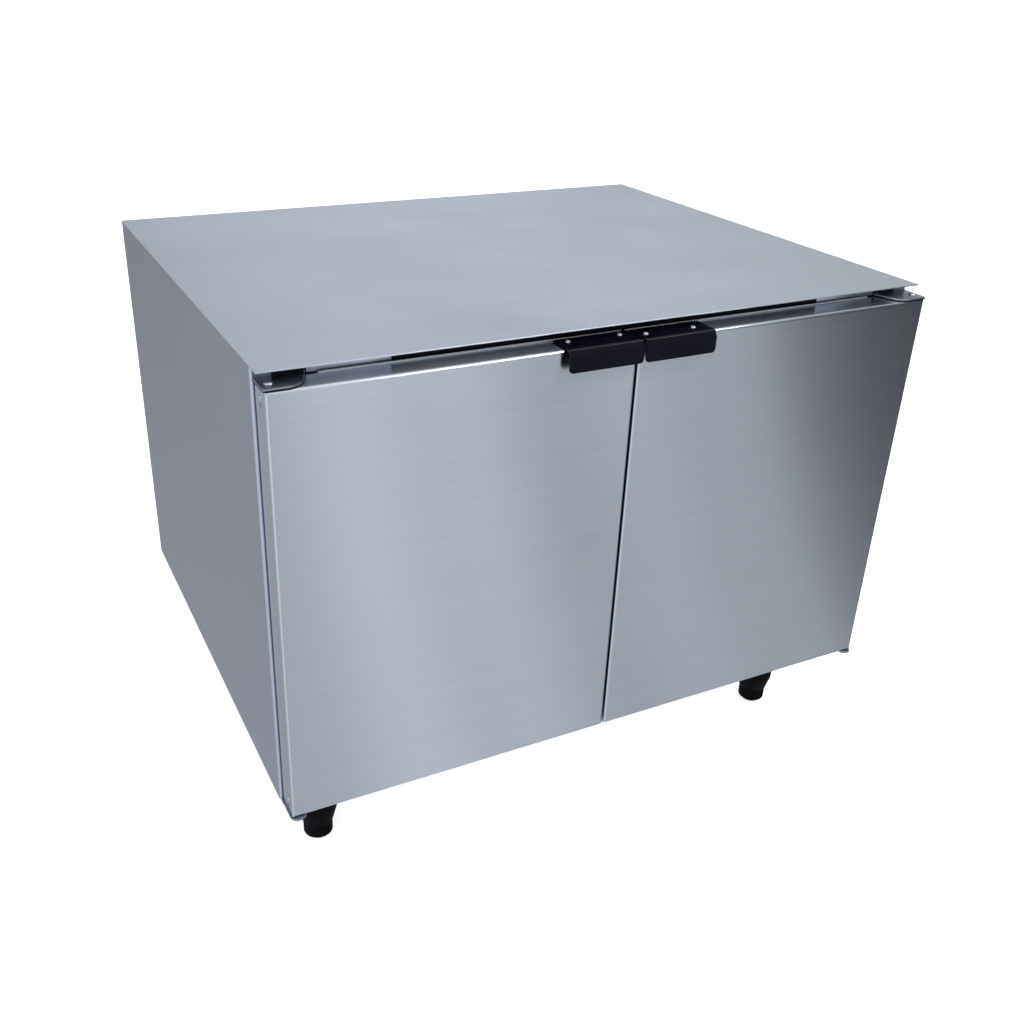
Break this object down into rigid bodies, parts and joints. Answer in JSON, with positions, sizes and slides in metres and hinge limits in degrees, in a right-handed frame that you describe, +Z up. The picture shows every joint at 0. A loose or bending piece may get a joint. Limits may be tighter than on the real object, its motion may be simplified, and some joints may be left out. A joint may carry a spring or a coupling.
{
  "type": "undercounter refrigerator",
  "caption": "Low insulated refrigerator cabinet with a flat stainless top, hinged doors with bent pull handles, adjustable legs and a condensing unit behind a louvred back panel.",
  "frame": {"origin": "on the floor, under the middle of the bounding box", "axes": "+X to the right of someone facing the doors, +Y from the doors towards the back, +Z up"},
  "size_m": [0.9144, 0.763, 0.7328],
  "materials": {
    "stainless": "satin",
    "zinc": "satin",
    "aluminium": "satin",
    "foam": "matte",
    "breaker": "satin",
    "white_plastic": "satin",
    "gasket": "matte",
    "black_coat": "gloss",
    "black_plastic": "matte",
    "leg_plastic": "satin",
    "black_paint": "satin",
    "white_wire": "gloss"
  },
  "bodies": {
    "cabinet": {"top_panel": "stainless", "left_side_panel": "stainless", "right_side_panel": "stainless", "bottom_panel": "zinc", "back_panel": "stainless", "cabinet_insulation": "foam", "inner_liner": "aluminium", "face_frame": "stainless", "breaker_strip": "breaker", "centre_mullion": "stainless", "left_top_hinge_bracket": "stainless", "left_top_hinge_pin": "stainless", "left_lower_hinge_bracket": "stainless", "left_lower_hinge_pin": "stainless", "right_top_hinge_bracket": "stainless", "right_top_hinge_pin": "stainless", "right_lower_hinge_bracket": "stainless", "right_lower_hinge_pin": "stainless", "front_left_leg": "leg_plastic", "front_right_leg": "leg_plastic", "rear_left_leg": "leg_plastic", "rear_right_leg": "leg_plastic", "evaporator_cover": "aluminium", "evaporator_coil": "aluminium", "evaporator_fan_motor": "black_paint", "evaporator_fan_guard": "black_coat", "drain_tube": "white_plastic", "temperature_control": "white_plastic", "left_shelf": "white_wire", "right_shelf": "white_wire", "left_shelf_rail": "stainless", "right_shelf_rail": "stainless", "centre_shelf_rail": "stainless", "condensing_unit_base": "zinc", "compressor": "black_paint", "condenser_coil": "aluminium", "condenser_fan_shroud": "zinc", "condenser_fan_motor": "black_paint", "electrical_box": "zinc", "condensate_tray": "black_plastic", "power_inlet": "black_plastic"},
    "left_door": {"left_door_skin": "stainless", "left_door_insulation": "foam", "left_door_liner": "white_plastic", "left_door_gasket": "gasket", "left_door_bushing": "white_plastic", "left_door_handle": "black_coat"},
    "right_door": {"right_door_skin": "stainless", "right_door_insulation": "foam", "right_door_liner": "white_plastic", "right_door_gasket": "gasket", "right_door_bushing": "white_plastic", "right_door_handle": "black_coat"},
    "front_left_foot": {"front_left_foot": "leg_plastic"},
    "front_right_foot": {"front_right_foot": "leg_plastic"},
    "rear_left_foot": {"rear_left_foot": "leg_plastic"},
    "rear_right_foot": {"rear_right_foot": "leg_plastic"},
    "evaporator_fan": {"evaporator_fan_blade": "black_plastic"},
    "knob": {"temperature_knob": "black_plastic"},
    "condenser_fan": {"condenser_fan_blade": "aluminium"}
  },
  "joints": [
    {"name": "left_door_swing", "type": "hinge", "parent": "cabinet", "child": "left_door", "pos_m": [-0.445, -0.355, 0.436], "axis": [0, 0, -1], "range_deg": [0, 120]},
    {"name": "right_door_swing", "type": "hinge", "parent": "cabinet", "child": "right_door", "pos_m": [0.445, -0.355, 0.436], "axis": [0, 0, 1], "range_deg": [0, 120]},
    {"name": "evaporator_fan_spin", "type": "hinge", "parent": "cabinet", "child": "evaporator_fan", "pos_m": [0, 0.0615, 0.62165], "axis": [0, 1, 0], "continuous": true},
    {"name": "condenser_fan_spin", "type": "hinge", "parent": "cabinet", "child": "condenser_fan", "pos_m": [0.23, 0.3055, 0.2754], "axis": [0, 1, 0], "continuous": true},
    {"name": "temperature_knob_turn", "type": "hinge", "parent": "cabinet", "child": "knob", "pos_m": [0.25, 0.106, 0.6288], "axis": [0, -1, 0], "range_deg": [0, 270]},
    {"name": "front_left_foot_height", "type": "slide", "parent": "cabinet", "child": "front_left_foot", "axis": [0, 0, -1], "range_m": [0, 0.025]},
    {"name": "front_right_foot_height", "type": "slide", "parent": "cabinet", "child": "front_right_foot", "axis": [0, 0, -1], "range_m": [0, 0.025]},
    {"name": "rear_left_foot_height", "type": "slide", "parent": "cabinet", "child": "rear_left_foot", "axis": [0, 0, -1], "range_m": [0, 0.025]},
    {"name": "rear_right_foot_height", "type": "slide", "parent": "cabinet", "child": "rear_right_foot", "axis": [0, 0, -1], "range_m": [0, 0.025]}
  ]
}
